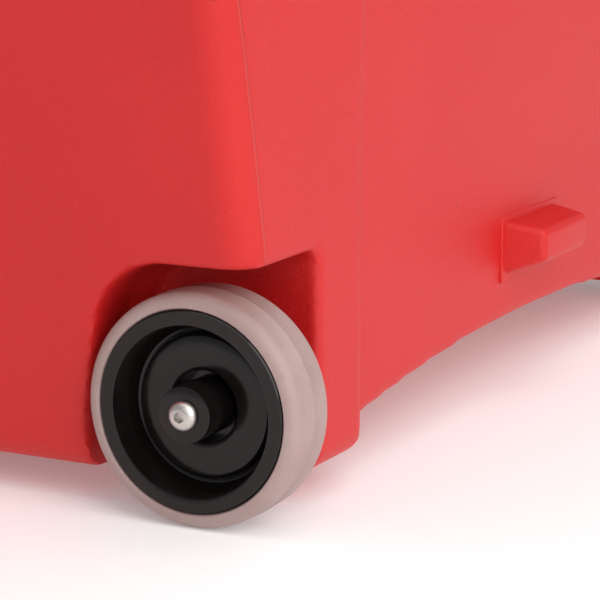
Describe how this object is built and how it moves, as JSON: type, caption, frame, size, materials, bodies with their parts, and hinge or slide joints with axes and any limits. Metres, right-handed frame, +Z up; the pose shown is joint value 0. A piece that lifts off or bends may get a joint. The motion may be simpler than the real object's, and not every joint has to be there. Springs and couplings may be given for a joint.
{
  "type": "wheeled chest cooler",
  "caption": "Moulded chest cooler with a hinged lid, rubber latches, a folding tow handle, a screw-in drain plug and recessed wheels at one end.",
  "frame": {"origin": "on the ground, under the middle of the overall box", "axes": "+X along the cooler towards the wheels, +Y towards the hinges, +Z up"},
  "size_m": [0.9448, 0.6062, 0.46],
  "materials": {
    "shell": "satin",
    "foam": "matte",
    "trim": "satin",
    "hub": "gloss",
    "tyre": "matte",
    "latch": "matte",
    "grip": "matte",
    "foot": "matte",
    "seal": "matte",
    "steel": "satin",
    "insert": "satin",
    "tube": "satin"
  },
  "bodies": {
    "chest": {"body_shell": "shell", "body_foam": "foam", "body_port_plug": "trim", "hinge_pin_1": "steel", "hinge_pin_2": "steel", "latch_pin_1": "steel", "latch_pin_2": "steel", "drain_liner": "trim", "tow_bracket_near": "trim", "tow_pin_near": "steel", "tow_bracket_screw_near_1": "steel", "tow_bracket_screw_near_2": "steel", "foot_near": "foot", "foot_screw_near_1": "steel", "foot_screw_near_2": "steel", "axle_bush_near": "hub", "axle_washer_near": "steel", "axle_bolt_near": "steel", "axle_insert_near": "insert", "tow_bracket_far": "trim", "tow_pin_far": "steel", "tow_bracket_screw_far_1": "steel", "tow_bracket_screw_far_2": "steel", "foot_far": "foot", "foot_screw_far_1": "steel", "foot_screw_far_2": "steel", "axle_bush_far": "hub", "axle_washer_far": "steel", "axle_bolt_far": "steel", "axle_insert_far": "insert"},
    "lid": {"lid_shell": "shell", "lid_foam": "foam", "lid_port_plug": "trim", "lid_gasket": "seal"},
    "latch_left": {"latch_1": "latch"},
    "latch_right": {"latch_2": "latch"},
    "tow_handle": {"tow_handle_frame": "tube", "tow_handle_grip": "grip"},
    "drain_seal_carrier": {"drain_seal": "seal"},
    "drain_knob": {"drain_plug": "trim"},
    "wheel_near": {"tyre_near": "tyre", "hub_near": "hub"},
    "wheel_far": {"tyre_far": "tyre", "hub_far": "hub"}
  },
  "joints": [
    {"name": "lid_hinge", "type": "hinge", "parent": "chest", "child": "lid", "pos_m": [0, 0.29408, 0.4003], "axis": [-1, 0, 0], "range_deg": [0, 100]},
    {"name": "latch_left_pivot", "type": "hinge", "parent": "chest", "child": "latch_left", "pos_m": [-0.24012, -0.29358, 0.345], "axis": [1, 0, 0], "range_deg": [-3.2, 156]},
    {"name": "latch_right_pivot", "type": "hinge", "parent": "chest", "child": "latch_right", "pos_m": [0.24012, -0.29358, 0.345], "axis": [1, 0, 0], "range_deg": [-3.2, 156]},
    {"name": "tow_handle_pivot", "type": "hinge", "parent": "chest", "child": "tow_handle", "pos_m": [-0.45938, 0, 0.33], "axis": [0, 1, 0], "range_deg": [0, 130]},
    {"name": "drain_slide", "type": "slide", "parent": "chest", "child": "drain_seal_carrier", "axis": [-1, 0, 0], "range_m": [0, 0.006]},
    {"name": "drain_turn", "type": "hinge", "parent": "drain_seal_carrier", "child": "drain_knob", "pos_m": [-0.40428, -0.15, 0.08], "axis": [-1, 0, 0], "range_deg": [0, 720]},
    {"name": "wheel_near_spin", "type": "hinge", "parent": "chest", "child": "wheel_near", "pos_m": [0.43238, -0.2305, 0.04], "axis": [0, 1, 0], "continuous": true},
    {"name": "wheel_far_spin", "type": "hinge", "parent": "chest", "child": "wheel_far", "pos_m": [0.43238, 0.2305, 0.04], "axis": [0, 1, 0], "continuous": true}
  ],
  "couplings": [
    {"joint": "drain_turn", "follows": "drain_slide", "rad_per_m": 2094.4}
  ]
}
